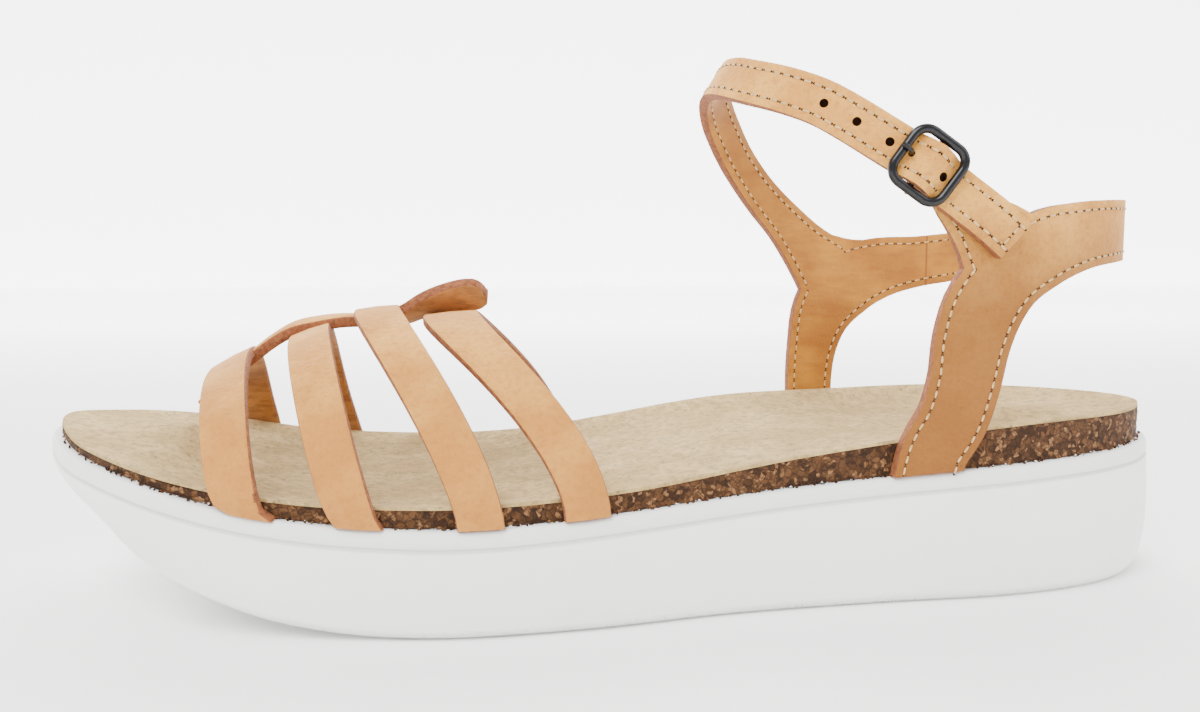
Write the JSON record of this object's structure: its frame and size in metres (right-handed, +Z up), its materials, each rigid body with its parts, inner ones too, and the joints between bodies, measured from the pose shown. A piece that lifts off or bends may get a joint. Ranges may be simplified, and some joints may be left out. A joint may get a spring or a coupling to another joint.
{
  "type": "sandal",
  "caption": "Open sandal with a cork footbed on a light platform sole, woven straps over the forefoot and a buckled ankle strap.",
  "frame": {"origin": "on the floor, below the centre of the bounding box", "axes": "+X from the toe to the heel, +Y to the inner side of the foot, +Z up; the sole stands on the floor at z = 0"},
  "size_m": [0.261, 0.0927, 0.1186],
  "materials": {
    "sole": "matte off-white foam rubber",
    "cork": "ground cork, medium brown with lighter flecks",
    "suede": "pale beige suede",
    "leather": "tan nubuck, smooth tan lining",
    "buckle": "glossy black"
  },
  "bodies": {
    "root": {"sole": "sole", "cork_footbed": "cork", "insole": "suede", "vamp": "leather", "quarter_lateral": "leather", "ankle_strap": "leather", "buckle_frame": "buckle", "buckle_prong": "buckle"}
  },
  "joints": []
}
